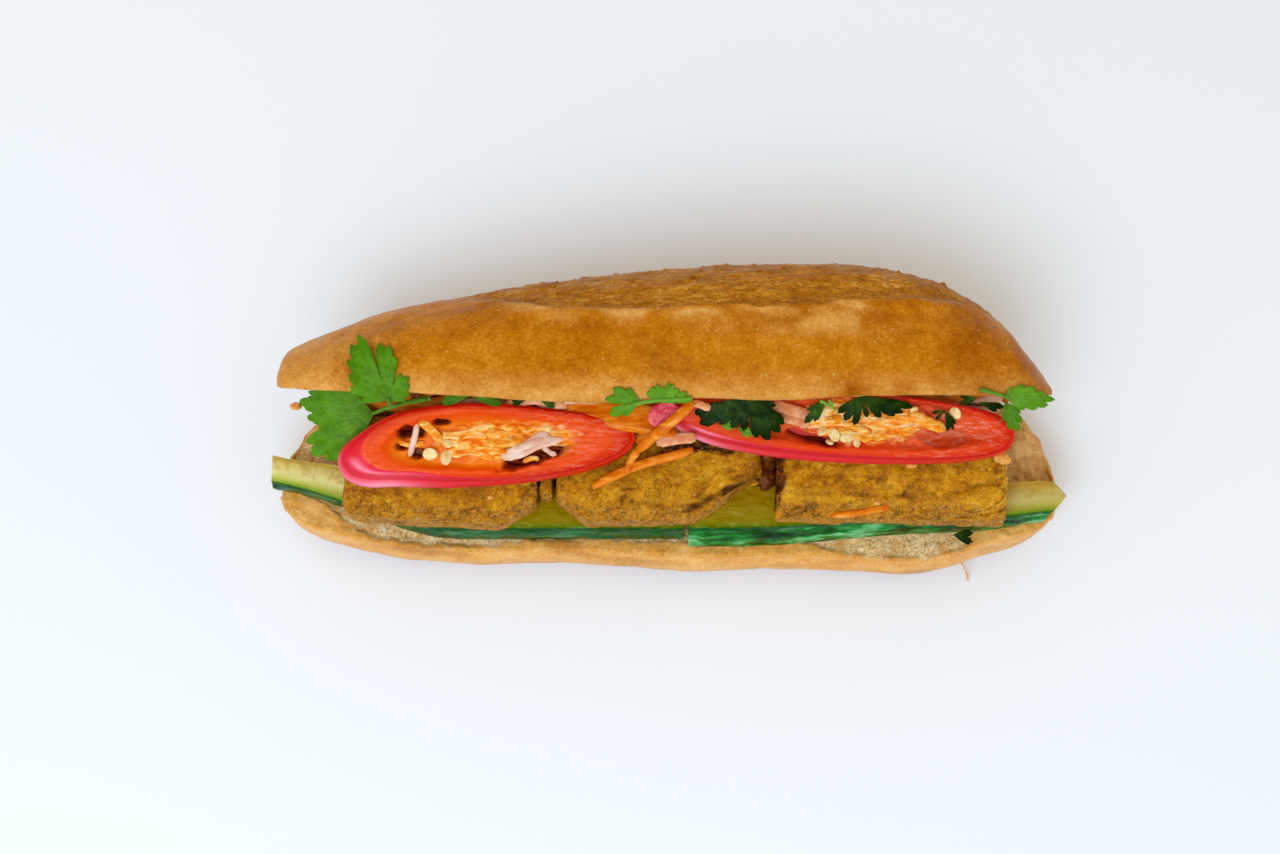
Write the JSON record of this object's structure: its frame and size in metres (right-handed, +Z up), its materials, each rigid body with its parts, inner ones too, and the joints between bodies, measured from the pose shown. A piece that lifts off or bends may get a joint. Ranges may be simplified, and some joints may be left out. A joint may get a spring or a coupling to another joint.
{
  "type": "banh mi sandwich",
  "caption": "Long crusty bread roll, split and opened at the front, filled with cucumber, fried tofu slabs, slanting red chili slices, pickled carrot and radish, and coriander.",
  "frame": {"origin": "centre of the sandwich's bounding box in plan, on the flat that it stands on", "axes": "+X along the roll, towards its blunt end; +Y towards the hinged back; +Z up; the open, filled side faces -Y"},
  "size_m": [0.2378, 0.0842, 0.0817],
  "materials": {
    "crust": "baked crust, satin, with a paler crumb inside; plastic stands in for bread",
    "cucumber": "wet flesh and dark waxy skin; plastic stands in for cucumber",
    "tofu": "fried, wrinkled, slightly oily; plastic stands in for tofu",
    "chili": "glossy skin, moist flesh; plastic stands in for chili",
    "carrot": "moist pickled carrot; plastic stands in for it",
    "radish": "moist pickled radish; plastic stands in for it",
    "pickles": "heap of moist shreds of carrot and radish; plastic stands in for it"
  },
  "bodies": {
    "root": {"baguette": "crust", "carrot_strip_back": "carrot", "carrot_strip_front": "carrot", "carrot_strip_right": "carrot", "chili_left": "chili", "chili_right": "chili", "cucumber_left": "cucumber", "cucumber_right": "cucumber", "pickle_heap": "pickles", "radish_curl": "radish", "radish_slice": "radish", "tofu_chunk": "tofu", "tofu_left": "tofu", "tofu_middle": "tofu", "tofu_right": "tofu"}
  },
  "joints": []
}
